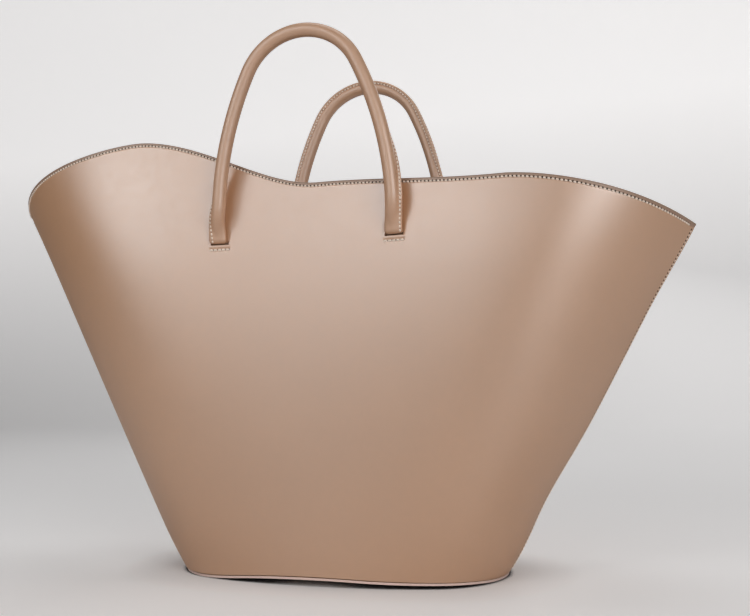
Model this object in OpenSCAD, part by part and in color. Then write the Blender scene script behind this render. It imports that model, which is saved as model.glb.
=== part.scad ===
// Trapeze bag: a flared, open-topped leather tote. It stands on an oval base, its
// side seams fan out to two wings, and two rolled handles stand up from slots in
// the panels. Millimetres, Z up, front towards -Y, origin under the middle of the base.

/* [Base] */
// Length of the base, end to end
base_len = 262; // [225:1:320]
// Depth of the base, front to back
base_w = 144; // [120:1:180]
// Radius of the rounded ends of the base
base_end_r = 62; // [50:1:66]
// Thickness of the base leather
base_t = 2; // [1.4:0.1:3]
// Thickness of the stiff board over the base leather
board_t = 2; // [1:0.1:3]
// Rise of the base in its middle, so that it rests on its two ends
base_rise = 5; // [2:0.5:8]
// Half-length of the part of the base that rises
rise_half = 106; // [90:1:112]

/* [Body] */
// Height at which the mouth is measured
mouth_h = 272; // [220:1:330]
// Length of the body at that height, seam to seam
mouth_len = 574; // [460:1:690]
// Depth of the body at that height, across its pinched middle
mouth_w = 123; // [100:1:150]
// Swell of the mouth on either side of the pinch
mouth_swell = 1.2; // [0.6:0.05:1.6]
// How squarely the mouth turns in at its corners
mouth_turn = 3.7; // [2.6:0.1:4.4]
// Extra fullness of each panel halfway up
belly = 3; // [0:0.5:8]
// Tuck of the side seams towards the base
seam_tuck = 8; // [0:0.5:14]
// Height over which that tuck runs out
tuck_h = 40; // [20:1:60]

/* [Rim] */
// Height of the rim at the left corner
left_corner_h = 312; // [290:1:330]
// Height of the left shoulder, the highest point of the rim
left_shoulder_h = 353; // [335:1:380]
// Height of the rim in the middle
dip_h = 308; // [290:1:330]
// Height of the right shoulder
right_shoulder_h = 300; // [285:1:330]
// Height of the rim at the right corner
right_corner_h = 265; // [245:1:285]
// Place of the left shoulder, as a share of the half-length
left_shoulder_at = -0.46; // [-0.6:0.01:-0.35]
// Place of the middle low, as a share of the half-length
dip_at = 0.02; // [-0.1:0.01:0.15]
// Place of the right shoulder, as a share of the half-length
right_shoulder_at = 0.51; // [0.4:0.01:0.65]

/* [Leather and lining] */
// Thickness of the panel leather
leather_t = 1.5; // [1.2:0.1:2]
// Thickness of the lining and of the facing under the rim
lining_t = 0.8; // [0.6:0.1:1.2]
// Height of the leather facing inside the rim
facing_h = 38; // [25:1:60]
// Glue line between two layers
glue = 0.4; // [0.3:0.05:0.5]

/* [Handles] */
// Distance between the two feet of a handle
handle_span = 144; // [120:1:170]
// Height of the slots above the ground
foot_h = 259; // [225:1:265]
// Height of a handle above its slots, to the middle of the roll
handle_h = 166; // [130:1:210]
// Diameter of the rolled leather
roll_d = 10.8; // [9:0.2:15]
// Thickness of the leather round the cord
roll_t = 1.2; // [0.8:0.1:1.6]
// Radius of the crown of a handle
crown_r = 50; // [40:1:58]
// Straight length of each leg above its slot
leg_straight = 20; // [16:1:40]
// Width of the stitched fin along a handle, where the two edges of its leather lie together
fin_w = 2.4; // [2:0.1:5]
// Turn of the fin from the outer side of the arch towards the bag
fin_turn = 20; // [0:5:45]
// Lean of the back handle, away from the mouth
back_lean = 4; // [0:0.5:8]

/* [Feet of the handles] */
// Width of a flattened foot
foot_w = 15; // [12:0.5:18]
// Thickness of a flattened foot
foot_t = 4; // [3:0.2:5]
// Height over which the roll flattens to its foot
foot_len = 13; // [10:0.5:15]
// Clearance between the roll and the panel above the slot
roll_gap = 2.2; // [1.2:0.1:4]
// Height of the slot
slot_h = 2.4; // [2:0.1:3.4]
// Thickness of the tab that holds a foot inside the bag
tab_t = 1.4; // [1:0.1:1.8]
// Length of the tab below the slot
tab_len = 24; // [16:1:34]

/* [Hidden] */
across_steps = 40;                  // facets along a panel
up_steps = 12;                      // facets up a panel
rim_fall = 1.5;                     // how the rim falls from a shoulder to its corner
flare_ease = 0.15;                  // share of the height over which the flare runs out at the mouth
seam_gap = 0.05;                    // each panel's distance from the seam plane
run_gap = 0.35;                     // clearance between parts that move past each other
slot_side = 0.5;                    // clearance on each side of a foot in its slot
leather = [0.69, 0.56, 0.46];
suede = [0.62, 0.52, 0.42];
cord = [0.86, 0.83, 0.76];
board = [0.35, 0.33, 0.31];

function mix(a, b, t) = a + (b - a)*t;
function limit(x, a, b) = max(a, min(b, x));
function ease(t) = t*t*(3 - 2*t);
function sq(x) = x*x;

// Outline of the base: an oval of four arcs
function side_r(a, b, r) = (sq(a - r) + b*b - r*r)/(2*(b - r));
function oval_y(x, a, b, r) = let(R = side_r(a, b, r), c = a - r, join = c*R/(R - r))
    abs(x) < join ? sqrt(R*R - x*x) - (R - b) : sqrt(max(0, r*r - sq(abs(x) - c)));

// The oval drawn `inset` inside the outline
module oval(inset = 0) {
    a = base_len/2 - inset;
    b = base_w/2 - inset;
    r = base_end_r - inset;
    R = side_r(a, b, r);
    join = (a - r)*R/(R - r);
    for (s = [-1, 1]) translate([s*(a - r), 0]) circle(r, $fn = 96);
    intersection() {
        translate([0, b - R]) circle(R, $fn = 360);
        translate([0, R - b]) circle(R, $fn = 360);
        square([2*join, 3*b], center = true);
    }
}

// Arch of the base: a crown arc between two easing arcs
arch_turn = 2*atan(base_rise/rise_half);
arch_sum = rise_half/sin(arch_turn);
arch_r = 0.65*arch_sum;             // crown
ease_r = arch_sum - arch_r;         // where the crown eases into the flat ends
arch_join = arch_r*sin(arch_turn);
function arch_z(x) = let(d = abs(x))
    d < arch_join ? base_rise - arch_r + sqrt(sq(arch_r) - d*d) :
    d < rise_half ? ease_r - sqrt(sq(ease_r) - sq(rise_half - d)) : 0;

// Everything under the arch line lifted by `up`, in the X-Z plane
module under_arch(up) {
    translate([-base_len, up - 20]) square([2*base_len, 20]);
    translate([0, up]) {
        intersection() {
            translate([0, base_rise - arch_r]) circle(arch_r, $fn = 720);
            translate([-arch_join, -1]) square([2*arch_join, base_rise + 2]);
        }
        for (s = [-1, 1]) scale([s, 1]) difference() {
            translate([arch_join, -1]) square([rise_half - arch_join, 1 + arch_z(arch_join)]);
            translate([rise_half, ease_r]) circle(ease_r, $fn = 720);
        }
    }
}

// A sheet that follows the arch, from height `low` to `high`, cut to the oval
module base_sheet(low, high, inset) {
    intersection() {
        translate([0, 0, -5]) linear_extrude(base_rise + high + 10) oval(inset);
        rotate([90, 0, 0]) translate([0, 0, -base_w]) linear_extrude(2*base_w) difference() {
            under_arch(high);
            under_arch(low);
        }
    }
}

// Skin of the body: outer face of the front panel
// q runs from -1 at the left seam to 1 at the right seam, z is the height
function half_len(z) = mix(base_len/2 + seam_tuck, mouth_len/2, z/mouth_h)
    - seam_tuck*sq(limit(1 - z/tuck_h, 0, 1));
function half_w(z) = let(t = z/mouth_h) mix(base_w, mouth_w, t)/2 + 4*belly*t*(1 - t);
function flare(z) = let(t = z/mouth_h)
    t < 1 - flare_ease ? t : t < 1 + flare_ease ? t - sq(t - 1 + flare_ease)/(4*flare_ease) : 1;
function mouth_shape(q) = (1 - pow(abs(q), mouth_turn))*(1 + mouth_swell*q*q);
function base_shape(q) = oval_y(q*base_len/2, base_len/2, base_w/2, base_end_r)/(base_w/2);
function skin(q, z) = [half_len(z)*q,
    -max(seam_gap, half_w(z)*mix(base_shape(q), mouth_shape(q), flare(z))), z];
function skin_normal(q, z) = let(e = 0.01,
    along = skin(min(q + e, 1), z) - skin(max(q - e, -1), z),
    up = skin(q, z + 1) - skin(q, z - 1),
    n = cross(along, up)) n/norm(n);

// A point `depth` inside the skin; on a seam it slides along the seam plane
function inside(q, z, depth) = let(p = skin(q, z), n = skin_normal(q, z))
    abs(q) > 0.9999 ? p - [sign(q)*depth/abs(n.x), 0, 0] : p - n*depth;

function rim_z(q) =
    q < left_shoulder_at ? mix(left_shoulder_h, left_corner_h,
        pow((left_shoulder_at - q)/(left_shoulder_at + 1), rim_fall)) :
    q < dip_at ? mix(left_shoulder_h, dip_h, ease((q - left_shoulder_at)/(dip_at - left_shoulder_at))) :
    q < right_shoulder_at ? mix(dip_h, right_shoulder_h, ease((q - dip_at)/(right_shoulder_at - dip_at))) :
    mix(right_shoulder_h, right_corner_h, pow((q - right_shoulder_at)/(1 - right_shoulder_at), rim_fall));

// Bottom edge of a panel: it stands on the base leather
function hem_z(q) = base_t + glue + arch_z(q*base_len/2);
function facing_z(q) = rim_z(q) - facing_h;

// Columns of a panel, closer together towards the seams, and rows, closer towards the base
function column(i) = let(u = 2*i/across_steps - 1) u*(1.3 - 0.3*u*u);
function row(u) = u*(1 + u)/2;

// A layer of a panel between two depths and two heights given as functions
module layer(low, high, outer, inner, rows) {
    w = across_steps + 1;
    grid = [for (depth = [outer, inner]) for (j = [0:rows]) for (i = [0:across_steps])
        let(q = column(i)) inside(q, mix(low(q), high(q), row(j/rows)), depth)];
    back = w*(rows + 1);
    faces = [
        for (j = [0:rows - 1]) for (i = [0:across_steps - 1]) let(a = j*w + i)
            each [[a, a + w, a + 1], [a + 1, a + w, a + w + 1],
                [back + a, back + a + 1, back + a + w], [back + a + 1, back + a + w + 1, back + a + w]],
        for (i = [0:across_steps - 1]) let(a = i, b = rows*w + i)
            each [[a, a + 1, back + a], [a + 1, back + a + 1, back + a],
                [b, back + b, b + 1], [b + 1, back + b, back + b + 1]],
        for (j = [0:rows - 1]) let(a = j*w, b = j*w + across_steps)
            each [[a, back + a, a + w], [a + w, back + a, back + a + w],
                [b, b + w, back + b], [b + w, back + b + w, back + b]]];
    polyhedron(grid, faces, convexity = 6);
}

// Feet of the handles
stack_t = leather_t + glue + lining_t;
foot_q = handle_span/2/half_len(foot_h);
// Moves children to the left (-1) or right (1) slot of the front panel, with -Y straight out
module at_slot(side) {
    n = skin_normal(side*foot_q, foot_h);
    translate(skin(side*foot_q, foot_h)) rotate([0, 0, atan2(n.x, -n.y)]) rotate([asin(-n.z), 0, 0])
        children();
}
module slots() {
    for (s = [-1, 1]) at_slot(s) translate([0, stack_t/2, 0])
        cube([foot_w + 2*slot_side, stack_t + 3, slot_h], center = true);
}
slot_slant = abs(skin_normal(foot_q, foot_h).x)*(foot_w/2 + slot_side);
hinge_y = skin(foot_q, foot_h).y - foot_t/2 - slot_slant - run_gap;
roll_y = skin(foot_q, foot_h).y - roll_d/2 - roll_gap;

// Panels
module leather_panel() {
    difference() {
        layer(function(q) hem_z(q), function(q) rim_z(q), 0, leather_t, up_steps);
        slots();
    }
}
module panel_lining() {
    difference() {
        layer(function(q) hem_z(q), function(q) facing_z(q) - glue,
            leather_t + glue, leather_t + glue + lining_t, up_steps);
        slots();
    }
}
module rim_facing() {
    difference() {
        layer(function(q) facing_z(q), function(q) rim_z(q),
            leather_t + glue, leather_t + glue + lining_t, 2);
        slots();
    }
}
module to_back() { mirror([0, 1, 0]) children(); }

module front_panel() color(leather) leather_panel();
module back_panel() color(leather) to_back() leather_panel();
module front_facing() color(leather) rim_facing();
module back_facing() color(leather) to_back() rim_facing();
module front_lining() color(suede) panel_lining();
module back_lining() color(suede) to_back() panel_lining();

// Base
board_inset = 2*stack_t;
module base_panel() color(leather) base_sheet(0, base_t, 0);
module base_board() color(board) base_sheet(base_t + glue, base_t + glue + board_t, board_inset);
module base_lining() color(suede)
    base_sheet(base_t + board_t + 2*glue, base_t + board_t + 2*glue + lining_t, board_inset);

// Tabs: each goes through its slot and lies down against the lining
module tab(side) {
    lie = stack_t + 0.4;            // outer face of the hanging part
    bend = 1;
    intersection() {
        at_slot(side) rotate([90, 0, 90]) translate([0, 0, -foot_w/2]) linear_extrude(foot_w) {
            translate([-4, -tab_t/2]) square([4 + lie - bend, tab_t]);
            translate([lie - bend, -tab_t/2 - bend]) intersection() {
                difference() {
                    circle(bend + tab_t, $fn = 48);
                    circle(bend, $fn = 48);
                }
                square(bend + tab_t);
            }
            translate([lie, -tab_t/2 - tab_len]) square([tab_t, tab_len - bend]);
        }
        translate([-mouth_len, hinge_y + foot_t/2 + run_gap, 0]) cube([2*mouth_len, base_w, 2*mouth_h]);
    }
}
module front_left_tab() color(leather) tab(-1);
module front_right_tab() color(leather) tab(1);
module back_left_tab() color(leather) to_back() tab(-1);
module back_right_tab() color(leather) to_back() tab(1);

// Handles: a three-centred arch on two straight legs, drawn in its own plane
half_span = handle_span/2;
crown_z = handle_h - crown_r;       // centre of the crown
side_z = leg_straight;              // centres of the side arcs
side_arc_r = (sq(half_span) + sq(crown_z - side_z) - sq(crown_r))/(2*(half_span - crown_r));
side_x = half_span - side_arc_r;
side_turn = atan2(crown_z - side_z, -side_x);

// Sweeps a profile, whose X points out of the arch, along the arch from foot to foot. The side
// arcs run a little way into the crown and the legs, slimmer by a hair so that they join cleanly.
lap = 0.8;
lap_step = 0.12;
module along_arch(start) {
    translate([0, 0, crown_z]) rotate([90, 0, 0]) rotate([0, 0, side_turn])
        rotate_extrude(angle = 180 - 2*side_turn, $fn = 180) translate([crown_r, 0])
            let($slim = 0) children();
    lap_turn = lap/side_arc_r*180/PI;
    for (s = [0, 1]) mirror([s, 0, 0]) {
        translate([side_x, 0, side_z]) rotate([90, 0, 0]) rotate([0, 0, -lap_turn])
            rotate_extrude(angle = side_turn + 2*lap_turn, $fn = 720) translate([side_arc_r, 0])
                let($slim = lap_step) children();
        translate([half_span, 0, side_z]) rotate([180, 0, 0]) linear_extrude(side_z - start)
            let($slim = 0) children();
    }
}
fin_t = 2*roll_t;
module roll_profile() {
    difference() {
        union() {
            circle(roll_d/2 - $slim, $fn = 48);
            rotate(-fin_turn) translate([roll_d/2 - roll_t/2, -fin_t/2 + $slim])
                square([roll_t/2 + fin_w - $slim, fin_t - 2*$slim]);
        }
        circle(roll_d/2 - roll_t + $slim, $fn = 48);
    }
}
module cord_profile() circle(roll_d/2 - roll_t - glue - $slim, $fn = 48);
module handle_leather() {
    along_arch(foot_len) roll_profile();
    for (s = [-1, 1]) hull() {
        translate([s*half_span, 0, foot_len - 1]) cylinder(d = roll_d - 0.5, h = 2, $fn = 48);
        translate([s*half_span, hinge_y - roll_y, 0]) rotate([0, 90, 0])
            cylinder(d = foot_t, h = foot_w, center = true, $fn = 32);
    }
}
module handle_cord() along_arch(foot_len + 1.2) cord_profile();
// Stands a handle on the front slots, tilted about its hinge line by `lean`
module stand_front(lean) {
    translate([0, hinge_y, foot_h]) rotate([lean, 0, 0]) translate([0, roll_y - hinge_y, 0]) children();
}
module front_handle() color(leather) stand_front(0) handle_leather();
module front_handle_cord() color(cord) stand_front(0) handle_cord();
module back_handle() color(leather) to_back() stand_front(back_lean) handle_leather();
module back_handle_cord() color(cord) to_back() stand_front(back_lean) handle_cord();

front_panel();
back_panel();
front_facing();
back_facing();
front_lining();
back_lining();
base_panel();
base_board();
base_lining();
front_left_tab();
front_right_tab();
back_left_tab();
back_right_tab();
front_handle();
front_handle_cord();
back_handle();
back_handle_cord();
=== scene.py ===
# Trapeze bag: a flared leather tote on an oval base, with two rolled handles.
# Lengths are written in millimetres, as the object is measured; each mesh is made metres at its end.
import math
import random
import bmesh
import bpy
from mathutils import Matrix, Vector


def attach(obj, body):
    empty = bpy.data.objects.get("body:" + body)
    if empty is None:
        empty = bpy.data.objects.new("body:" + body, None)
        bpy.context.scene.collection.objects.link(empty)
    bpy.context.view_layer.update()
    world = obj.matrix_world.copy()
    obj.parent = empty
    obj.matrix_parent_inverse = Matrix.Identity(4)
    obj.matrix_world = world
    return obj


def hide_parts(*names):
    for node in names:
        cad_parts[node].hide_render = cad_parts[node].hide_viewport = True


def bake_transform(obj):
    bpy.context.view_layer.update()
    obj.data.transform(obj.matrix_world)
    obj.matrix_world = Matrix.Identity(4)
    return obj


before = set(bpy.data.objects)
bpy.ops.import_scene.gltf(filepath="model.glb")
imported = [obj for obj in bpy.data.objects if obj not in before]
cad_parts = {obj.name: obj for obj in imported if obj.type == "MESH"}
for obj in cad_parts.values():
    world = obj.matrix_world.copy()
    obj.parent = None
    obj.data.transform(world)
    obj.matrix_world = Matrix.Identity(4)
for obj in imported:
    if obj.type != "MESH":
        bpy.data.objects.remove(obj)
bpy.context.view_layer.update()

# Camera. It stands in front of the bag and to its right, a little above the base, and looks
# slightly up. The picture is 750 pixels wide, and the focal length is given in those pixels.
MM = 0.001
PICTURE_W, FOCAL_PX, SENSOR_W = 750, 941.4, 36
EYE = Vector((277.5, -734.5, 160.0))
YAW, TILT, ROLL = -0.323, 0.0669, -0.022

sight = Vector((math.sin(YAW)*math.cos(TILT), math.cos(YAW)*math.cos(TILT), math.sin(TILT)))
level = Vector((math.cos(YAW), -math.sin(YAW), 0))
rise = level.cross(sight)
right = level*math.cos(ROLL) + rise*math.sin(ROLL)
upward = rise*math.cos(ROLL) - level*math.sin(ROLL)
camera_data = bpy.data.cameras.new("camera")
camera_data.sensor_fit = "HORIZONTAL"
camera_data.sensor_width = SENSOR_W
camera_data.lens = SENSOR_W*FOCAL_PX/PICTURE_W
camera_data.clip_start = 0.01
camera = bpy.data.objects.new("camera", camera_data)
camera_turn = Matrix((right, upward, -sight)).transposed().to_4x4()
camera.matrix_world = Matrix.Translation(EYE*MM) @ camera_turn
bpy.context.scene.collection.objects.link(camera)
bpy.context.scene.camera = camera

# Front and back panels. Each is one piece of smooth calf leather, 1.5 mm thick, cut to a wide
# fan and dyed taupe. They are lofted from the oval base to the pinched mouth and meet in two
# side seams; the back one is the front one mirrored in the middle plane.
BASE_LEN, BASE_W, BASE_END_R = 271, 144, 62
BASE_T, GLUE, BASE_RISE, RISE_HALF, ARCH_CROWN = 2, 0.4, 5, 106, 0.65
MOUTH_H, MOUTH_LEN, MOUTH_W, MOUTH_SWELL, MOUTH_TURN = 272, 574, 123, 1.2, 3.7
BELLY, SEAM_TUCK, TUCK_H, FLARE_EASE, SEAM_GAP = 3, 3.5, 40, 0.15, 0.05
LEFT_CORNER_H, LEFT_SHOULDER_H, DIP_H, RIGHT_SHOULDER_H, RIGHT_CORNER_H = 311, 353, 308, 300, 263.4
LEFT_SHOULDER_AT, DIP_AT, RIGHT_SHOULDER_AT, RIM_FALL = -0.46, 0.02, 0.51, 1.5
LEATHER_T = 1.5
HALF_SPAN, FOOT_H = 72, 259
# The base rises from its left end in an even arch, and comes down to its right end more slowly.
RIGHT_RISE = ((0, 5), (25, 4.6), (50, 3.55), (75, 2.8), (100, 2.35), (120, 1.4), (131, 0.3), (137, 0))
# Sway: how far the right side hangs in and at what height, how far its mouth opens out, and
# over which heights.
SWAY_FROM, SWAY_IN, SWAY_IN_H, SWAY_IN_W = 0.55, 4.1, 58, 40
SWAY_OUT, SWAY_OUT_H, SWAY_OUT_W = 2.4, 200, 60


def mix(a, b, t):
    return a + (b - a)*t


def limit(x, low, high):
    return max(low, min(high, x))


def ease(t):
    t = limit(t, 0, 1)
    return t*t*(3 - 2*t)


def bell(x, width):
    return math.exp(-(x/width)**2)


def through(points, x):
    """A smooth curve through points in order of x, level outside them."""
    if x <= points[0][0]:
        return points[0][1]
    if x >= points[-1][0]:
        return points[-1][1]
    i = next(i for i in range(len(points) - 1) if x <= points[i + 1][0])
    slopes = []
    for k in (i, i + 1):
        a, b = points[max(k - 1, 0)], points[min(k + 1, len(points) - 1)]
        slopes.append((b[1] - a[1])/(b[0] - a[0]) if 0 < k < len(points) - 1 else 0)
    (x0, y0), (x1, y1) = points[i], points[i + 1]
    w, t = x1 - x0, (x - x0)/(x1 - x0)
    return (y0*(1 + 2*t)*(1 - t)**2 + y1*t*t*(3 - 2*t)
            + slopes[0]*w*t*(1 - t)**2 - slopes[1]*w*t*t*(1 - t))


def oval_y(x):
    """Half width of the base at x: an oval of four arcs."""
    a, b, r = BASE_LEN/2, BASE_W/2, BASE_END_R
    side_r = ((a - r)**2 + b*b - r*r)/(2*(b - r))
    if abs(x) < (a - r)*side_r/(side_r - r):
        return math.sqrt(side_r*side_r - x*x) - (side_r - b)
    return math.sqrt(max(0, r*r - (abs(x) - (a - r))**2))


def arch_z(x):
    """Height of the base's underside at x."""
    if x > 0:
        return through(RIGHT_RISE, x)
    total = RISE_HALF/math.sin(2*math.atan(BASE_RISE/RISE_HALF))
    crown_r = ARCH_CROWN*total
    ease_r = total - crown_r
    if -x < crown_r*RISE_HALF/total:
        return BASE_RISE - crown_r + math.sqrt(crown_r**2 - x*x)
    return ease_r - math.sqrt(ease_r**2 - (RISE_HALF + x)**2) if -x < RISE_HALF else 0


def half_len(z):
    tuck = SEAM_TUCK*limit(1 - z/TUCK_H, 0, 1)**2
    return mix(BASE_LEN/2 + SEAM_TUCK, MOUTH_LEN/2, z/MOUTH_H) - tuck


def half_w(z):
    t = z/MOUTH_H
    return mix(BASE_W, MOUTH_W, t)/2 + 4*BELLY*t*(1 - t)


def flare(z):
    t = z/MOUTH_H
    if t < 1 - FLARE_EASE:
        return t
    return t - (t - 1 + FLARE_EASE)**2/(4*FLARE_EASE) if t < 1 + FLARE_EASE else 1


def sway(q, z):
    """The right side hangs in a little above the base, and opens a little at the mouth."""
    opened = SWAY_OUT*ease((z - SWAY_OUT_H)/SWAY_OUT_W)
    hung = SWAY_IN*bell(z - SWAY_IN_H, SWAY_IN_W)
    return ease((q - SWAY_FROM)/(1 - SWAY_FROM))*(opened - hung)


def skin(q, z):
    """The front panel's outer face; q runs from -1 at the left seam to 1 at the right one."""
    mouth = (1 - abs(q)**MOUTH_TURN)*(1 + MOUTH_SWELL*q*q)
    base = oval_y(q*BASE_LEN/2)/(BASE_W/2)
    painted_floor_shadow = half_w(z)*mix(base, mouth, flare(z))
    return Vector((half_len(z)*q + sway(q, z), -max(SEAM_GAP, painted_floor_shadow), z))


def q_at_x(x, z):
    """The q of the skin's point at x and z."""
    q = x/half_len(z)
    for _ in range(8):
        q = (x - sway(q, z))/half_len(z)
    return limit(q, -1, 1)


def skin_normal(q, z):
    q = limit(q, -0.9998, 0.9998)
    e = limit((1 - abs(q))/2, 0.0001, 0.004)
    along = skin(q + e, z) - skin(q - e, z)
    return along.cross(skin(q, z + 0.5) - skin(q, z - 0.5)).normalized()


def inside(q, z, depth):
    """The point a depth into the bag from the skin at q and z, never past the middle plane."""
    p, n = skin(q, z), skin_normal(q, z)
    inner = p - n*depth
    if depth > 0 and (inner.y > -SEAM_GAP or abs(q) > 0.9999):
        edge = skin(math.copysign(1, q), z)
        turn = skin_normal(math.copysign(1, q), z)
        inner = Vector((edge.x - math.copysign(depth/abs(turn.x), q), -SEAM_GAP, z))
    return inner


def rim_z(q):
    if q < LEFT_SHOULDER_AT:
        fall = ((LEFT_SHOULDER_AT - q)/(LEFT_SHOULDER_AT + 1))**RIM_FALL
        return mix(LEFT_SHOULDER_H, LEFT_CORNER_H, fall)
    if q < DIP_AT:
        return mix(LEFT_SHOULDER_H, DIP_H, ease((q - LEFT_SHOULDER_AT)/(DIP_AT - LEFT_SHOULDER_AT)))
    if q < RIGHT_SHOULDER_AT:
        return mix(DIP_H, RIGHT_SHOULDER_H, ease((q - DIP_AT)/(RIGHT_SHOULDER_AT - DIP_AT)))
    fall = ((q - RIGHT_SHOULDER_AT)/(1 - RIGHT_SHOULDER_AT))**RIM_FALL
    return mix(RIGHT_SHOULDER_H, RIGHT_CORNER_H, fall)


def hem_z(q):
    return BASE_T + GLUE + arch_z(q*BASE_LEN/2)


def column(u):
    """Spreads the columns of a sheet from seam to seam, closest together at the seams."""
    return math.sin(math.pi*(u - 0.5))


def node(tree, kind, **settings):
    made = tree.nodes.new(kind)
    for key, value in settings.items():
        if hasattr(made, key):
            setattr(made, key, value)
        else:
            made.inputs[key.replace("_", " ")].default_value = value
    return made


def new_material(name):
    m = bpy.data.materials.new(name)
    m.use_nodes = True
    tree = m.node_tree
    place = tree.nodes.new("ShaderNodeTexCoord").outputs["Object"]
    return m, tree, tree.nodes["Principled BSDF"], place


def two_tones(tree, source, low, high, dark, pale):
    """Colours from dark to pale as source goes from low to high."""
    ramp = tree.nodes.new("ShaderNodeValToRGB")
    for stop, at, tone in zip(ramp.color_ramp.elements, (low, high), (dark, pale)):
        stop.position = at
        stop.color = (*tone, 1)
    tree.links.new(source, ramp.inputs["Fac"])
    return ramp.outputs["Color"]


def satin_leather(name, tone, roughness, specular, rim_shade=None):
    """Smooth calf with fine pores and slow changes of tone; the last argument, if given, is the tone of a
    darker, duller strip of painted shade under the rim.
    """
    m, tree, face, place = new_material(name)
    clouds = node(tree, "ShaderNodeTexNoise", Scale=8.0, Detail=4.0, Roughness=0.55)
    mottle = node(tree, "ShaderNodeTexNoise", Scale=170.0, Detail=3.0, Roughness=0.6)
    pores = node(tree, "ShaderNodeTexVoronoi", Scale=1500.0, feature="DISTANCE_TO_EDGE")
    for texture in (clouds, mottle, pores):
        tree.links.new(place, texture.inputs["Vector"])
    both = node(tree, "ShaderNodeMix", data_type="FLOAT", Factor=0.3)
    tree.links.new(clouds.outputs["Fac"], both.inputs["A"])
    tree.links.new(mottle.outputs["Fac"], both.inputs["B"])
    dark, pale = [c*0.94 for c in tone], [c*1.06 for c in tone]
    colour = two_tones(tree, both.outputs["Result"], 0.3, 0.7, dark, pale)
    gloss = node(tree, "ShaderNodeMapRange", To_Min=roughness - 0.05, To_Max=roughness + 0.05)
    tree.links.new(mottle.outputs["Fac"], gloss.inputs["Value"])
    # Painted shade: down to 1.5 mm below the rim the colour is the darker shade tone and the sheen is
    # lower, fading back to plain leather by 2.4 mm; it stands for the shade on the margin above the rim
    # stitches.
    if rim_shade:
        rim = node(tree, "ShaderNodeAttribute", attribute_name="rim")
        strip = node(tree, "ShaderNodeMapRange", From_Min=1.5, From_Max=2.4, To_Min=1.0, To_Max=0.0)
        tree.links.new(rim.outputs["Fac"], strip.inputs["Value"])
        blend = node(tree, "ShaderNodeMix", data_type="RGBA", B=(*rim_shade, 1))
        tree.links.new(strip.outputs["Result"], blend.inputs["Factor"])
        tree.links.new(colour, blend.inputs["A"])
        colour = blend.outputs["Result"]
        dull = node(tree, "ShaderNodeMapRange", To_Min=specular, To_Max=0.3)
        tree.links.new(strip.outputs["Result"], dull.inputs["Value"])
        tree.links.new(dull.outputs["Result"], face.inputs["Specular IOR Level"])
    tree.links.new(colour, face.inputs["Base Color"])
    tree.links.new(gloss.outputs["Result"], face.inputs["Roughness"])
    hide = node(tree, "ShaderNodeBump", Strength=0.5, Distance=0.0003)
    grain = node(tree, "ShaderNodeBump", Strength=0.3, Distance=0.00004)
    tree.links.new(clouds.outputs["Fac"], hide.inputs["Height"])
    tree.links.new(pores.outputs["Distance"], grain.inputs["Height"])
    tree.links.new(hide.outputs["Normal"], grain.inputs["Normal"])
    tree.links.new(grain.outputs["Normal"], face.inputs["Normal"])
    face.inputs["IOR"].default_value = 2.2
    face.inputs["Specular IOR Level"].default_value = specular
    return m


def plain_finish(name, tone, roughness, grain_scale, grain_depth, change=0.12):
    """A finish of one tone with a fine grain: paint, suede, board, thread or cotton."""
    m, tree, face, place = new_material(name)
    nap = node(tree, "ShaderNodeTexNoise", Scale=grain_scale, Detail=5.0, Roughness=0.6)
    tree.links.new(place, nap.inputs["Vector"])
    dark, pale = [c*(1 - change) for c in tone], [c*(1 + change) for c in tone]
    tree.links.new(two_tones(tree, nap.outputs["Fac"], 0.25, 0.75, dark, pale), face.inputs["Base Color"])
    bump = node(tree, "ShaderNodeBump", Strength=0.5, Distance=grain_depth)
    tree.links.new(nap.outputs["Fac"], bump.inputs["Height"])
    tree.links.new(bump.outputs["Normal"], face.inputs["Normal"])
    face.inputs["Roughness"].default_value = roughness
    return m


def sheet_of(across, up, place):
    """A sheet through place(u, v), with u along it and v up it, facing outwards."""
    bm = bmesh.new()
    bmesh.ops.create_grid(bm, x_segments=across, y_segments=up, size=0.5)
    for v in bm.verts:
        v.co = place(v.co.x + 0.5, v.co.y + 0.5)
    return bm


def add_piece(bm, name, body, materials, nodes=()):
    """Turns millimetres into metres and makes a piece that rides on body, if it is one that
    follows a single body, and stands for nodes."""
    bmesh.ops.transform(bm, matrix=Matrix.Scale(MM, 4), verts=bm.verts)
    mesh = bpy.data.meshes.new(name)
    bm.to_mesh(mesh)
    bm.free()
    for m in materials:
        mesh.materials.append(m)
    mesh.shade_smooth()
    piece = bpy.data.objects.new(name, mesh)
    bpy.context.scene.collection.objects.link(piece)
    if body:
        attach(piece, body)
    if nodes:
        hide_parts(*nodes)
    return piece


def shell(bm, thickness):
    """Gives an outer face its thickness inwards, and stops it at the middle plane."""
    bmesh.ops.recalc_face_normals(bm, faces=bm.faces)
    outer = set(bm.verts)
    bmesh.ops.solidify(bm, geom=bm.faces[:], thickness=thickness)
    for v in bm.verts:
        if v not in outer and v.co.y > -SEAM_GAP:
            side, z = math.copysign(1, v.co.x), v.co.z
            run = thickness/abs(skin_normal(side, z).x)
            v.co = Vector((skin(side, z).x - side*run, -SEAM_GAP, z))
    return bm


def soften(piece, edge_r):
    """Rounds a piece's sharp edges to a radius in millimetres."""
    turn = piece.modifiers.new("soft_edges", "BEVEL")
    turn.width = edge_r*MM
    turn.segments = 3
    turn.limit_method = "ANGLE"
    turn.angle_limit = math.radians(50)
    turn.harden_normals = True
    return piece


def turn_back(bm):
    """Takes what is made for the front panel to the back one."""
    bmesh.ops.scale(bm, vec=(1, -1, 1), verts=bm.verts)
    bmesh.ops.reverse_faces(bm, faces=bm.faces)
    return bm


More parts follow.
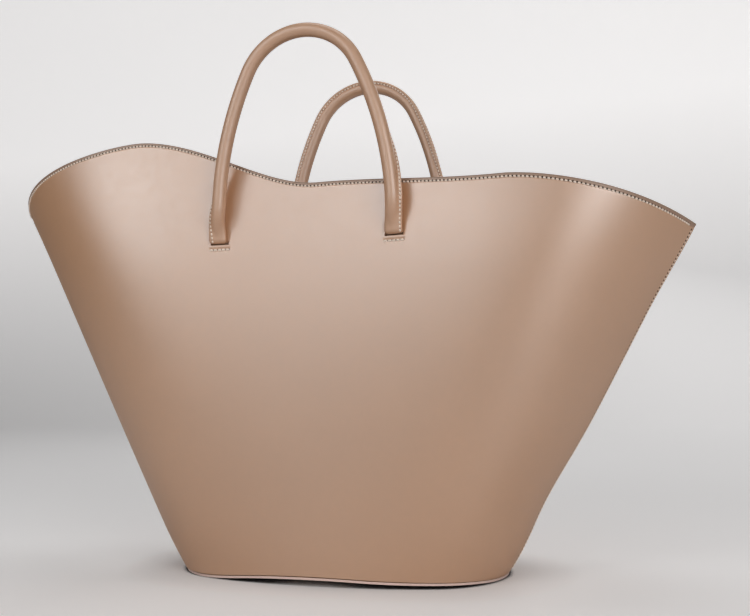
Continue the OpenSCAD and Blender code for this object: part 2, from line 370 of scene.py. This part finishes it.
# Each handle's end goes in through a slot. The leather below it is pushed out into a lip, then
# drawn in by the stitches that hold the end inside. The left slot sits a little higher.
SLOT_X, SLIT_Z = {-1: -75.4, 1: 70.0}, {-1: 263.3, 1: 261.6}
SLOT_W, SLIT_H, STRAP_IN_T = 15.2, 1.1, 2.0
LIP, LIP_BELOW, LIP_W = 0.3, 1.5, 1.1
CREASE, CREASE_BELOW, CREASE_W = 0.4, 3.4, 0.6
HOLLOW, HOLLOW_ABOVE, HOLLOW_W, RELIEF_REACH, RELIEF_FADE = 0.3, 6, 5, 16, 2
ROW_IN, ROW_CREASE, ROW_CREASE_W = 2.7, 0.22, 0.5
RIM_STEPS = (6.5, 5.6, 4.9, 4.3, 3.8, 3.4, 3.1, 2.8, 2.5, 2.2, 1.8, 1.3, 0.8, 0.4, 0)
BODY_ROWS, PANEL_COLUMNS = 74, 170


def slot_relief(x, z):
    """How far the leather stands out round a slot: lip, crease, and a hollow behind the strap."""
    side = math.copysign(1, x)
    wide = ease((SLOT_W/2 + RELIEF_FADE - abs(x - SLOT_X[side]))/RELIEF_FADE)
    below = SLIT_Z[side] - z
    out = LIP*bell(below - LIP_BELOW, LIP_W) - CREASE*bell(below - CREASE_BELOW, CREASE_W)
    return wide*(out - HOLLOW*bell(below + HOLLOW_ABOVE, HOLLOW_W))


def panel_point(q, z):
    """The skin with the reliefs that stitching and the slots give it."""
    out = -ROW_CREASE*bell(rim_z(q) - z - ROW_IN, ROW_CREASE_W)
    x = half_len(z)*q
    if max(abs(x - SLOT_X[math.copysign(1, x)]), abs(z - FOOT_H)) < RELIEF_REACH:
        out += slot_relief(x, z)
    return skin(q, z) + skin_normal(q, z)*out


def panel_row(q, v):
    """Height of row v of the panel's sheet: even over the body, close together under the rim."""
    row = v*(BODY_ROWS + len(RIM_STEPS) - 1)
    if row <= BODY_ROWS:
        return mix(hem_z(q), rim_z(q) - RIM_STEPS[0], row/BODY_ROWS)
    i = min(int(row - BODY_ROWS), len(RIM_STEPS) - 2)
    return rim_z(q) - mix(RIM_STEPS[i], RIM_STEPS[i + 1], row - BODY_ROWS - i)


def faces_near(bm, x, z, wide, low, high):
    found = []
    for f in bm.faces:
        middle = f.calc_center_median()
        if abs(middle.x - x) < wide and z - low < middle.z < z + high:
            found.append(f)
    return found


def cut_slot(bm, side):
    """Refines the sheet round a slot, cuts along the slot's four sides and takes the middle out."""
    x, z = SLOT_X[side], SLIT_Z[side] - SLIT_H/2
    high = SLIT_H + STRAP_IN_T + 0.2
    for wide, cuts in ((14, 3), (12, 1)):
        edges = list({e for f in faces_near(bm, x, z, wide, 11, 12) for e in f.edges})
        bmesh.ops.subdivide_edges(bm, edges=edges, cuts=cuts, use_grid_fill=True)
    half = SLOT_W/2
    for co, no in (((x - half, 0, 0), (1, 0, 0)), ((x + half, 0, 0), (1, 0, 0)),
                   ((0, 0, z), (0, 0, 1)), ((0, 0, z + high), (0, 0, 1))):
        close = faces_near(bm, x, z, half + 3, 3, high + 3)
        geom = list({part for f in close for part in (f, *f.edges, *f.verts)})
        bmesh.ops.bisect_plane(bm, geom=geom, dist=0.0001, plane_co=co, plane_no=no)
    bmesh.ops.delete(bm, geom=faces_near(bm, x, z, half - 0.02, -0.02, high - 0.02), context="FACES")


def panel():
    rows = BODY_ROWS + len(RIM_STEPS) - 1
    bm = sheet_of(PANEL_COLUMNS, rows, lambda u, v: skin(column(u), panel_row(column(u), v)))
    for side in (-1, 1):
        cut_slot(bm, side)
    for v in bm.verts:
        v.co = panel_point(q_at_x(v.co.x, v.co.z), v.co.z)
    return shell(bm, LEATHER_T)


def mark_rim(piece):
    """Stores each point's distance below the rim, in millimetres, for the painted rim shade in the
    material.
    """
    mark = piece.data.attributes.new("rim", "FLOAT", "POINT")
    values = []
    for v in piece.data.vertices:
        x, z = v.co.x/MM, v.co.z/MM
        values.append(rim_z(limit(x/half_len(z), -1, 1)) - z)
    mark.data.foreach_set("value", values)


# The second tone is painted shade for the strip under the rim.
TAUPE, RIM_SHADE_TONE = (0.555, 0.274, 0.118), (0.36, 0.22, 0.145)
calf = satin_leather("satin_calf", TAUPE, 0.42, 1.0)
rim_shaded_calf = satin_leather("rim_shaded_calf", TAUPE, 0.42, 1.0, RIM_SHADE_TONE)
edge_paint = plain_finish("edge_paint", (0.34, 0.23, 0.165), 0.45, 900.0, 0.00005)
for name, bm in (("front_panel", panel()), ("back_panel", turn_back(panel()))):
    piece = add_piece(bm, name + "_leather", "bag", [rim_shaded_calf], [name])
    mark_rim(piece)
    soften(piece, 0.35)

# Facings and linings. A strip of the same leather backs the rim inside, so that the row of
# stitches has two layers to hold; below it the bag is lined with thin suede.
LINING_T, FACING_H, LAYER_COLUMNS = 0.8, 38, 110
suede = plain_finish("suede", (0.27, 0.175, 0.115), 0.95, 700.0, 0.0003, 0.2)
inner_depth = LEATHER_T + GLUE


def layer(up, low, high):
    """A layer against the panel's inner face, between the heights low(q) and high(q)."""
    def at(depth):
        def place(u, v):
            q = column(u)
            return inside(q, mix(low(q), high(q), v), depth)
        return sheet_of(LAYER_COLUMNS, up, place)
    bm, inner = at(inner_depth), at(inner_depth + LINING_T)
    last, stride = LAYER_COLUMNS, LAYER_COLUMNS + 1
    outer_verts = bm.verts[:]
    inner_verts = [bm.verts.new(v.co) for v in inner.verts]
    inner.verts.index_update()
    for f in inner.faces:
        bm.faces.new([inner_verts[v.index] for v in reversed(f.verts)])
    inner.free()
    ring = list(range(stride)) + [k*stride + last for k in range(1, up + 1)]
    ring += [up*stride + k for k in range(last - 1, -1, -1)] + [k*stride for k in range(up - 1, 0, -1)]
    for a, b in zip(ring, ring[1:] + ring[:1]):
        bm.faces.new((outer_verts[b], outer_verts[a], inner_verts[a], inner_verts[b]))
    bmesh.ops.recalc_face_normals(bm, faces=bm.faces)
    return bm


def facing_low(q):
    return rim_z(q) - FACING_H


for side in ("front", "back"):
    facing, lining = layer(8, facing_low, rim_z), layer(40, hem_z, lambda q: facing_low(q) - GLUE)
    if side == "back":
        turn_back(facing)
        turn_back(lining)
    facing = add_piece(facing, side + "_facing_leather", "bag", [calf], [side + "_facing"])
    lining = add_piece(lining, side + "_lining_suede", "bag", [suede], [side + "_lining"])
    soften(facing, 0.15)
    soften(lining, 0.15)

# Painted rim. The cut edges of panel and facing are sanded flush and painted together, which
# leaves one slightly domed brown band all round the mouth.
EDGE_DOME, EDGE_OVER, EDGE_ROOT = 0.55, 0.12, 0.4
edge_w = inner_depth + LINING_T


def rim_band(u, v):
    q, turn = column(u), math.pi*v
    depth = edge_w/2 - (edge_w/2 + EDGE_OVER)*math.cos(turn)
    lift = (EDGE_DOME + EDGE_ROOT)*math.sin(turn)**0.7 - EDGE_ROOT
    return inside(q, rim_z(q) + lift, depth)


for side in ("front", "back"):
    bm = sheet_of(220, 10, rim_band)
    if side == "back":
        turn_back(bm)
    add_piece(bm, side + "_rim_edge", "bag", [edge_paint])

# Base. A plate of thicker leather follows the shallow arch, so that the bag rests on its two
# ends; its cut edge is sanded and waxed, and its pale pink tone is partly the edge's own and partly
# painted light, bounced up from below. The panels stand on it, with a stiff board and the lining's floor
# inside.
BOARD_T = 2
board_inset = 2*edge_w
# Partly the cut edge's own pale tone, partly painted light bounced up onto it from below.
pale_edge_and_bounce = plain_finish("pale_edge_and_bounce_light", (0.84, 0.63, 0.55), 0.55, 600.0, 0.00006, 0.08)
board_black = plain_finish("stiff_board", (0.10, 0.09, 0.08), 0.8, 300.0, 0.0001)


def plate(name, low, thickness, inset, materials, nodes):
    """A flat oval plate bent along the arch, with a rounded edge of the second material."""
    def place(u, v):
        half = BASE_LEN/2 - inset
        x = half*column(u)
        y = oval_y(x*BASE_LEN/2/half)*(BASE_W/2 - inset)/(BASE_W/2)
        return Vector((x, y*column(v), low + arch_z(x)))
    bm = sheet_of(140, 48, place)
    bmesh.ops.remove_doubles(bm, verts=bm.verts, dist=0.02)
    bmesh.ops.recalc_face_normals(bm, faces=bm.faces)
    if bm.faces[0].normal.z > 0:
        bmesh.ops.reverse_faces(bm, faces=bm.faces)
    under = set(bm.faces)
    lifted = bmesh.ops.extrude_face_region(bm, geom=bm.faces[:])["geom"]
    upper = [part for part in lifted if isinstance(part, bmesh.types.BMVert)]
    bmesh.ops.translate(bm, vec=(0, 0, thickness), verts=upper)
    top = {part for part in lifted if isinstance(part, bmesh.types.BMFace)}
    for f in bm.faces:
        f.material_index = 0 if f in under or f in top else len(materials) - 1
    bmesh.ops.recalc_face_normals(bm, faces=bm.faces)
    return soften(add_piece(bm, name, "bag", materials, nodes), 0.3)


plate("base_leather", 0, BASE_T - 0.3, 0, [calf, pale_edge_and_bounce], ["base_panel"])
plate("base_stiffener", BASE_T + GLUE, BOARD_T, board_inset, [board_black], ["base_board"])
plate("base_suede", BASE_T + BOARD_T + 2*GLUE, LINING_T, board_inset, [suede], ["base_lining"])

# Tabs. Each handle's end goes straight on inside its slot, bends down and lies against the
# lining, where the row of stitches below the slot holds it: four strips of the handles' leather.
STRAP_W, TAB_T, TAB_LEN, TAB_BEND, TAB_ON = 14.4, 1.4, 27, 1.6, 1.4
tab_depth = edge_w + 0.3
handle_calf = satin_leather("rolled_calf", (0.60, 0.335, 0.19), 0.46, 0.6)


def tab_point(side):
    z_in = SLIT_Z[side] + SLIT_H/2 + STRAP_IN_T/2

    def place(u, v):
        x, run = SLOT_X[side] + STRAP_W*(u - 0.5), v*TAB_LEN
        turn = limit((run - TAB_ON)/TAB_BEND, 0, math.pi/2)
        depth = tab_depth - TAB_BEND*(1 - math.sin(turn)) + TAB_T - TAB_ON + min(run, TAB_ON)
        z = z_in - TAB_BEND*(1 - math.cos(turn)) - max(0, run - TAB_ON - TAB_BEND*math.pi/2)
        return inside(x/half_len(z), z, depth)
    return place


for side, label in ((-1, "left"), (1, "right")):
    for where in ("front", "back"):
        bm = sheet_of(8, 24, tab_point(side))
        bmesh.ops.reverse_faces(bm, faces=bm.faces)
        if where == "back":
            turn_back(bm)
        name = f"{where}_{label}_tab"
        tab = add_piece(bm, name + "_leather", "bag", [handle_calf], [name])
        wall = tab.modifiers.new("wall", "SOLIDIFY")
        wall.thickness = TAB_T*MM
        wall.offset = -1
        soften(tab, 0.25)

# Handles. A strip of leather is wrapped round a cotton cord and its two edges are sewn together,
# which leaves a narrow fin. Over the arch the fin is turned towards the bag; near the ends it
# comes round to the arch's outer side, and the roll is pressed flat to go in through its slot.
HINGE_Y, ROLL_Y, STRAP_Y, HANDLE_H = 69.842, 74.27, 69.0, 166
CROWN_R, LEG_STRAIGHT, ROLL_R, FIN_TIP, FIN_HALF = 50, 20, 5.4, 7.8, 1.2
FIN_TURNS = {"front": math.radians(80), "back": math.radians(55)}
FIN_TURN_FROM, FIN_TURN_LEFT, FIN_TURN_RIGHT = 12, 48, 85
STRAP_T, BEND_R, STRAP_END, BACK_LEAN, SKIN_SLOPE = 3.5, 2.4, 1.6, math.radians(4), 0.104
PRESSED, SHIFT_RUN, LEAN_RUN, SOFT_JOIN = 17, 28, 24, 14
FIN_POWER, STRAP_POWER, STRAP_OUT, SPREAD = 5, 3.2, 0.3, 2.3
crown_z = HANDLE_H - CROWN_R
side_arc_r = (HALF_SPAN**2 + (crown_z - LEG_STRAIGHT)**2 - CROWN_R**2)/(2*(HALF_SPAN - CROWN_R))
side_x = HALF_SPAN - side_arc_r
side_turn = math.atan2(crown_z - LEG_STRAIGHT, -side_x)
crown_half = CROWN_R*(math.pi/2 - side_turn)
arch_half = LEG_STRAIGHT + side_arc_r*side_turn + crown_half


def arch_at(s):
    """Point and outward direction of the arch, s from -arch_half at the left foot to arch_half."""
    run = abs(s)
    if run < crown_half:
        turn, middle, r = math.pi/2 - run/CROWN_R, Vector((0, 0, crown_z)), CROWN_R
    elif run < arch_half - LEG_STRAIGHT:
        turn = side_turn - (run - crown_half)/side_arc_r
        middle, r = Vector((side_x, 0, LEG_STRAIGHT)), side_arc_r
    else:
        turn, middle, r = 0, Vector((side_x, 0, arch_half - run)), side_arc_r
    out = Vector((math.cos(turn), 0, math.sin(turn)))
    point = middle + out*r
    if s < 0:
        out.x, point.x = -out.x, -point.x
    return point, out


def bend_reach(s):
    """Height above the hinge line where the strap starts to bend into its slot."""
    return SLIT_Z[1 if s > 0 else -1] + SLIT_H/2 + STRAP_IN_T/2 + BEND_R - FOOT_H


def above_bend(s):
    return arch_half - abs(s) - bend_reach(s)


def flatness(s):
    return 1 - ease((above_bend(s) + 1)/PRESSED)


def fin_turn(s):
    """How far the fin is turned towards the bag at s, on the handle that is being made."""
    run = FIN_TURN_RIGHT if s > 0 else FIN_TURN_LEFT
    return FIN_TURNS[handle]*ease((above_bend(s) - FIN_TURN_FROM)/run)


def spine(s):
    """Centre of the section at s, its outward axis, and its axis towards the bag."""
    point, out = arch_at(s)
    low = above_bend(s)
    side = 1 if s > 0 else -1
    point.x += (SLOT_X[side] - side*HALF_SPAN)*(1 - ease(low/SHIFT_RUN))
    y = mix(STRAP_Y, ROLL_Y, ease(low/LEAN_RUN))
    into, bent = Vector((0, 1, 0)), limit(-low/BEND_R, 0, math.pi/2)
    if low < 0:
        on = max(0, -low - BEND_R*math.pi/2)
        point.z = bend_reach(s) - BEND_R*math.sin(bent)
        y -= BEND_R*(1 - math.cos(bent)) + on
        into = Vector((0, math.cos(bent), math.sin(bent)))
    out = (out + Vector((0, -SKIN_SLOPE*flatness(s), 0))).normalized()
    return point + Vector((0, -y, FOOT_H)), out, (into - out*into.dot(out)).normalized()


def rounded(a, half_wide, half_high, power):
    """Radius at angle a of a rounded box."""
    return (abs(math.cos(a)/half_wide)**power + abs(math.sin(a)/half_high)**power)**(-1/power)


def section_r(a, s):
    """Radius of the section at angle a from its outward axis."""
    flat = flatness(s)
    off = (a - fin_turn(s) + math.pi) % (2*math.pi) - math.pi
    fin = rounded(off, FIN_TIP, FIN_HALF, FIN_POWER) if abs(off) < math.pi/2 else 0
    roll = (ROLL_R**SOFT_JOIN + fin**SOFT_JOIN)**(1/SOFT_JOIN)
    half_t = mix(STRAP_IN_T, STRAP_T, ease(1 + above_bend(s)/(BEND_R*1.5)))/2
    strap = rounded(a, STRAP_W/2 + STRAP_OUT*math.cos(a), half_t, STRAP_POWER)
    return mix(roll, strap, flat)


def handle_point(s, a):
    centre, out, into = spine(s)
    r = section_r(a, s)
    return centre + out*r*math.cos(a) + into*r*math.sin(a)


def section_angle(v, s):
    """Angles round the roll, closer together on the fin."""
    w = 2*v - 1
    return math.copysign(math.pi*abs(w)**SPREAD, w) + fin_turn(s)


def tube_of(along, around, place):
    """A tube through place(u, v), with u along it and v round it, and its ends closed."""
    bm = sheet_of(along, around, place)
    bmesh.ops.remove_doubles(bm, verts=bm.verts, dist=0.002)
    bmesh.ops.holes_fill(bm, edges=[e for e in bm.edges if e.is_boundary], sides=0)
    bmesh.ops.recalc_face_normals(bm, faces=bm.faces)
    return bm


def handle_tube():
    """One handle, upright in front, with its sections closer together towards its ends."""
    end = arch_half - bend_reach(-1) + BEND_R*math.pi/2 + STRAP_END

    def place(u, v):
        w = 2*u - 1
        s = end*(1.25*w - 0.25*w**3)
        return handle_point(s, section_angle(v, s))
    return tube_of(300, 64, place)


# Takes what is made for the front handle to the back one, which leans out a little.
stand_back = (Matrix.Scale(-1, 4, (0, 1, 0)) @ Matrix.Translation((0, -HINGE_Y, FOOT_H))
              @ Matrix.Rotation(BACK_LEAN, 4, "X") @ Matrix.Translation((0, HINGE_Y, -FOOT_H)))


def stand(bm, side):
    """Takes the back handle's parts to their place, and leaves the front one's."""
    if side == "back":
        bmesh.ops.transform(bm, matrix=stand_back, verts=bm.verts)
        bmesh.ops.reverse_faces(bm, faces=bm.faces)
    return bm


def bend_at_slots(piece, side):
    """Bakes the piece's placing into its mesh."""
    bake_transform(piece)


for handle in ("front", "back"):
    bm = stand(handle_tube(), handle)
    name = handle + "_handle"
    piece = add_piece(bm, name + "_leather", None, [handle_calf], [name])
    bend_at_slots(piece, handle)

# Cords. Each handle has a core of twisted cotton inside its roll. It is pressed thinner with the
# roll near both ends, and stops before the leather goes in through its slots.
CORD_R, CORD_END, CORD_TAPER, CORD_THIN = 3.8, 9, 6, 0.45
STRANDS, STRAND_RIDGE, TWIST = 3, 0.03, 0.6
cotton = plain_finish("cotton_cord", (0.70, 0.66, 0.58), 0.9, 900.0, 0.0003)


def cord_point(u, v):
    end = arch_half - bend_reach(-1) - CORD_END
    s, turn = end*(2*u - 1), 2*math.pi*v
    centre, out, into = spine(s)
    ridges = 1 + STRAND_RIDGE*math.cos(STRANDS*turn + s*TWIST)
    r = CORD_R*ridges*math.sqrt(ease((end + 0.5 - abs(s))/CORD_TAPER))
    thin = mix(1, CORD_THIN, flatness(s))
    return centre + out*r*math.cos(turn) + into*r*thin*math.sin(turn)


for side in ("front", "back"):
    bm = stand(tube_of(160, 24, cord_point), side)
    name = side + "_handle"
    add_piece(bm, name + "_cotton", name, [cotton], [name + "_cord"])

# Stitches. A pale waxed thread of two plies runs in a row just inside every edge, at about
# 3 mm a stitch. Each stitch lies a little slanted between two needle holes, and dives into them.
THREAD_R, STITCH_L, PITCH, SEAM_ROW, FIN_ROW = 0.7, 2.4, 3.05, 2.6, 6.3
STITCH_UP, STITCH_DIVE, PLY_RIDGE, PLY_TWIST = 0.24, 0.45, 0.14, 5
SEAM_ROW_FOOT, SEAM_ROW_TOP, RIM_REACH, INNER_REACH = 3, 4, 0.985, 0.97
HOLE_R, HOLE_UP, FIN_ROW_IN, FIN_EDGE_LEFT, FIN_EDGE_RIGHT = 0.66, 0.45, 2.2, 2.8, 0.9
FOOT_ROW_BELOW, FOOT_ROW_HALF, FOOT_PITCH = 4.4, 8.4, 3.36
# How a row is sewn: the slant of its stitches, their pitch, and the size of stitch and of the painted
# shade in its holes.
RIM_SEWN, SEAM_SEWN = (-0.12, PITCH, 1.0, 1.15), (0.0, PITCH, 0.7, 1.3)
FOOT_SEWN, FIN_SEWN = (-0.12, FOOT_PITCH, 1.35, 0.75), (0.0, PITCH, 0.95, 0.38)
thread = plain_finish("waxed_thread", (0.95, 0.81, 0.69), 0.5, 2500.0, 0.00008, 0.1)
# Painted shade: a near-black disc in each needle hole, shifted a little to one side, stands for the shade
# in the hole and under the slanted stitch.
hole_shade_paint = plain_finish("needle_hole_shade", (0.06, 0.035, 0.022), 0.9, 800.0, 0.00002)
slants = random.Random(5)


def small_shape(around, along, place):
    """Vertices and faces of a small closed shape, placed by place(turn, t)."""
    bm = bmesh.new()
    bmesh.ops.create_grid(bm, x_segments=around, y_segments=along, size=0.5)
    for v in bm.verts:
        v.co = place(2*math.pi*(v.co.x + 0.5), v.co.y + 0.5)
    bmesh.ops.remove_doubles(bm, verts=bm.verts, dist=0.001)
    bmesh.ops.recalc_face_normals(bm, faces=bm.faces)
    bm.verts.index_update()
    shape = [v.co.copy() for v in bm.verts], [[v.index for v in f.verts] for f in bm.faces]
    bm.free()
    return shape


def stitch_place(turn, t):
    w = 2*t - 1
    plies = 1 + PLY_RIDGE*math.cos(2*turn - PLY_TWIST*w)
    r = THREAD_R*math.sqrt(max(0, 1 - abs(w)**5))*plies
    height = STITCH_UP - STITCH_DIVE*w*w + r*math.sin(turn)
    return Vector((w*STITCH_L/2, r*math.cos(turn), height))


# A dark disc of painted shade, shifted a little off the hole's centre.
def hole_place(turn, t):
    r = HOLE_R*math.sin(math.pi*t)
    return Vector((r*math.cos(turn), r*math.sin(turn) + HOLE_UP, -0.1*math.cos(math.pi*t)))


stitch_shape, hole_shape = small_shape(8, 7, stitch_place), small_shape(8, 4, hole_place)


def scatter(name, shape, places, body, material):
    """One piece made of a small shape copied to every place."""
    corners, faces = [], []
    for place in places:
        first = len(corners)
        corners += [(place @ v)*MM for v in shape[0]]
        faces += [[first + i for i in f] for f in shape[1]]
    mesh = bpy.data.meshes.new(name)
    mesh.from_pydata(corners, [], faces)
    mesh.materials.append(material)
    mesh.shade_smooth()
    if places[0].determinant() < 0:
        mesh.flip_normals()
    piece = bpy.data.objects.new(name, mesh)
    bpy.context.scene.collection.objects.link(piece)
    if body:
        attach(piece, body)
    return piece


def run_of(curve, pitch, steps=1200):
    """Points an even pitch apart along curve(t): each one's t, place and direction."""
    points = [curve(i/steps) for i in range(steps + 1)]
    total = sum((b - a).length for a, b in zip(points, points[1:]))
    gap = total/max(1, round(total/pitch))
    found, walked, due = [], 0.0, gap/2
    for i, (a, b) in enumerate(zip(points, points[1:])):
        d = (b - a).length
        if walked + d >= due:
            part = (due - walked)/d
            found.append(((i + part)/steps, a.lerp(b, part), (b - a).normalized()))
            due += gap
        walked += d
    return found


def sew(name, rows, body, carry=None):
    """Stitches, and dark discs of painted shade in their needle holes, along rows: each row is a
    curve, its outward direction, and how it is sewn."""
    stitches, holes = [], []
    for curve, out_of, slant, pitch, thick, hole in rows:
        for t, point, along in run_of(curve, pitch):
            side = out_of(t).cross(along).normalized()
            out = along.cross(side)
            lie = (along + side*(slant + slants.uniform(-0.04, 0.04))).normalized()
            stitch_axes = (lie*thick, out.cross(lie)*thick, out*thick)
            hole_axes = (along*hole, side*hole, out*hole)
            for found, at, axes in ((stitches, point, stitch_axes),
                                    (holes, point + along*pitch/2, hole_axes)):
                lay = Matrix.Translation(at) @ Matrix(axes).transposed().to_4x4()
                found.append((carry or Matrix()) @ lay)
    return (scatter(name, stitch_shape, stitches, body, thread),
            scatter(name + "_holes", hole_shape, holes, body, hole_shade_paint))


def rim_row(reach, depth, way):
    """The row under the rim, on the outside or, with way -1, on the inside."""
    def q_at(t):
        return mix(-reach, reach, t)*way
    return (lambda t: inside(q_at(t), rim_z(q_at(t)) - ROW_IN, depth),
            lambda t: skin_normal(q_at(t), rim_z(q_at(t)) - ROW_IN)*way, *RIM_SEWN)


def seam_q(side, z):
    """Where the row beside the seam runs at height z."""
    low, high = 0.8, 1.0
    for _ in range(24):
        q = (low + high)/2
        away = math.hypot(half_len(z)*(1 - q), skin(q, z).y)
        low, high = (q, high) if away > SEAM_ROW else (low, q)
    return side*low


def seam_row(side):
    def z_at(t):
        up = t if side > 0 else 1 - t
        return mix(hem_z(side) + SEAM_ROW_FOOT, rim_z(side) - SEAM_ROW_TOP, up)
    return (lambda t: skin(seam_q(side, z_at(t)), z_at(t)),
            lambda t: skin_normal(seam_q(side, z_at(t)), z_at(t)), *SEAM_SEWN)


def foot_row(side):
    """The short row below a slot, which holds the handle's end."""
    z = SLIT_Z[side] - FOOT_ROW_BELOW

    def q_at(t):
        return (SLOT_X[side] + mix(-FOOT_ROW_HALF, FOOT_ROW_HALF, t))/half_len(z)
    return lambda t: panel_point(q_at(t), z), lambda t: skin_normal(q_at(t), z), *FOOT_SEWN


def fin_row(face):
    """The row along the fin, on its outer face (-1) or the one towards the bag (1)."""
    ends = [side*(arch_half - bend_reach(side) + FIN_ROW_IN) for side in (-1, 1)]

    def s_at(t):
        return mix(*ends, t)

    def place(t):
        s = s_at(t)
        edge = FIN_EDGE_RIGHT if s > 0 else FIN_EDGE_LEFT
        reach = mix(FIN_ROW, STRAP_W/2 - edge, flatness(s))
        low, high = 0.0, math.pi/2
        for _ in range(20):
            a = (low + high)/2
            away = section_r(face*a + fin_turn(s), s)*math.cos(a)
            low, high = (a, high) if away > reach else (low, a)
        return handle_point(s, face*low + fin_turn(s))

    def out_of(t):
        out, into = spine(s_at(t))[1:]
        turn = fin_turn(s_at(t))
        return (into*math.cos(turn) - out*math.sin(turn))*face
    return place, out_of, *FIN_SEWN


panel_rows = [rim_row(RIM_REACH, 0, 1), rim_row(INNER_REACH, edge_w, -1)]
panel_rows += [row(side) for row in (seam_row, foot_row) for side in (-1, 1)]
sew("front_panel_stitches", panel_rows, "bag")
sew("back_panel_stitches", panel_rows, "bag", Matrix.Scale(-1, 4, (0, 1, 0)))
for handle, carry in (("front", None), ("back", stand_back)):
    for piece in sew(handle + "_handle_stitches", [fin_row(-1), fin_row(1)], None, carry):
        bend_at_slots(piece, handle)

# Floor and light. A plain pale sweep of floor and wall. Two soft lights stand in front and to
# the left, where the satin leather mirrors them, one at the right, one above and one behind.
FLOOR_RUN, WALL_TURN_R, FLOOR_NEAR, FLOOR_HALF, FLOOR_LEN = 5.0, 1.2, -3.2, 6.0, 9
SHADE_REACH, CONTACT_REACH = 0.05, 0.007


def floor_point(u, v):
    run = v*FLOOR_LEN
    turn = limit((run - FLOOR_RUN)/WALL_TURN_R, 0, math.pi/2)
    depth = min(run, FLOOR_RUN) + WALL_TURN_R*math.sin(turn)
    height = WALL_TURN_R*(1 - math.cos(turn)) + max(0, run - FLOOR_RUN - WALL_TURN_R*math.pi/2)
    return Vector((FLOOR_HALF*(2*u - 1), FLOOR_NEAR + depth, height))


floor_bm = sheet_of(1, 60, floor_point)
floor_mesh = bpy.data.meshes.new("floor")
floor_bm.to_mesh(floor_mesh)
floor_bm.free()
floor_mesh.shade_smooth()
floor_paint = plain_finish("floor_paint", (0.80, 0.785, 0.78), 0.9, 3.0, 0.0002, 0.015)
# Floor and wall have some brightness of their own, more of it higher up, which shows to the
# camera only and fades out where something stands close, as a painted contact shadow.
tree = floor_paint.node_tree
face = next(n for n in tree.nodes if n.type == "BSDF_PRINCIPLED")
height = node(tree, "ShaderNodeSeparateXYZ")
tree.links.new(tree.nodes.new("ShaderNodeTexCoord").outputs["Object"], height.inputs["Vector"])
glow = node(tree, "ShaderNodeMapRange", From_Min=0.0, From_Max=1.2, To_Min=0.22, To_Max=0.62)
tree.links.new(height.outputs["Z"], glow.inputs["Value"])
seen = node(tree, "ShaderNodeMath", operation="MULTIPLY")
tree.links.new(tree.nodes.new("ShaderNodeLightPath").outputs["Is Camera Ray"], seen.inputs[0])
tree.links.new(glow.outputs["Result"], seen.inputs[1])
shade = node(tree, "ShaderNodeAmbientOcclusion", samples=8, Distance=SHADE_REACH)
contact = node(tree, "ShaderNodeAmbientOcclusion", samples=8, Distance=CONTACT_REACH)
clear = node(tree, "ShaderNodeMapRange", From_Min=0.38, From_Max=0.56)
tree.links.new(contact.outputs["AO"], clear.inputs["Value"])
lit = seen.outputs["Value"]
for open_part in (shade.outputs["AO"], clear.outputs["Result"]):
    times = node(tree, "ShaderNodeMath", operation="MULTIPLY")
    tree.links.new(lit, times.inputs[0])
    tree.links.new(open_part, times.inputs[1])
    lit = times.outputs["Value"]
tree.links.new(lit, face.inputs["Emission Strength"])
# Close under the bag, where no light gets in, the floor's colour is painted near black: a painted shadow.
painted_floor_shadow = node(tree, "ShaderNodeMix", data_type="RGBA", A=(0.015, 0.008, 0.007, 1))
tree.links.new(clear.outputs["Result"], painted_floor_shadow.inputs["Factor"])
tree.links.new(face.inputs["Base Color"].links[0].from_socket, painted_floor_shadow.inputs["B"])
tree.links.new(painted_floor_shadow.outputs["Result"], face.inputs["Base Color"])
face.inputs["Emission Color"].default_value = (1.0, 0.985, 0.98, 1)
floor_mesh.materials.append(floor_paint)
floor = bpy.data.objects.new("floor", floor_mesh)
bpy.context.scene.collection.objects.link(floor)


def soft_light(name, turn, lift, far, size, power, aim=(0, 0, 0.25)):
    """A soft light on a tripod: turn to the right of the front, lift above the horizon."""
    turn, lift = math.radians(turn), math.radians(lift)
    away = Vector((math.sin(turn)*math.cos(lift), -math.cos(turn)*math.cos(lift), math.sin(lift)))
    data = bpy.data.lights.new(name, "AREA")
    data.shape = "RECTANGLE"
    data.size, data.size_y = size
    data.energy = power
    lamp = bpy.data.objects.new(name, data)
    lamp.location = Vector(aim) + away*far
    lamp.rotation_euler = away.to_track_quat("Z", "Y").to_euler()
    bpy.context.scene.collection.objects.link(lamp)


soft_light("key", -34, 26, 2.6, (1.0, 0.9), 8.6)
soft_light("front_fill", -15, 17, 2.6, (1.8, 1.2), 8.2)
soft_light("right_fill", 45, 15, 2.6, (1.5, 1.1), 23)
soft_light("top", 180, 80, 2.0, (1.2, 0.8), 7)
soft_light("back_fill", 165, 25, 2.6, (1.6, 1.2), 10)
world = bpy.data.worlds.new("surround")
world.use_nodes = True
tree = world.node_tree
height = node(tree, "ShaderNodeSeparateXYZ")
tree.links.new(tree.nodes.new("ShaderNodeTexCoord").outputs["Generated"], height.inputs["Vector"])
dome = node(tree, "ShaderNodeMapRange", From_Min=-0.1, From_Max=0.6, To_Min=0.07, To_Max=0.12)
tree.links.new(height.outputs["Z"], dome.inputs["Value"])
beyond = node(tree, "ShaderNodeMix", data_type="FLOAT", B=0.75)
tree.links.new(tree.nodes.new("ShaderNodeLightPath").outputs["Is Camera Ray"], beyond.inputs["Factor"])
tree.links.new(dome.outputs["Result"], beyond.inputs["A"])
sky = tree.nodes["Background"]
sky.inputs["Color"].default_value = (0.98, 0.98, 1.0, 1)
tree.links.new(beyond.outputs["Result"], sky.inputs["Strength"])
bpy.context.scene.world = world
bpy.context.scene.view_settings.view_transform = "Standard"
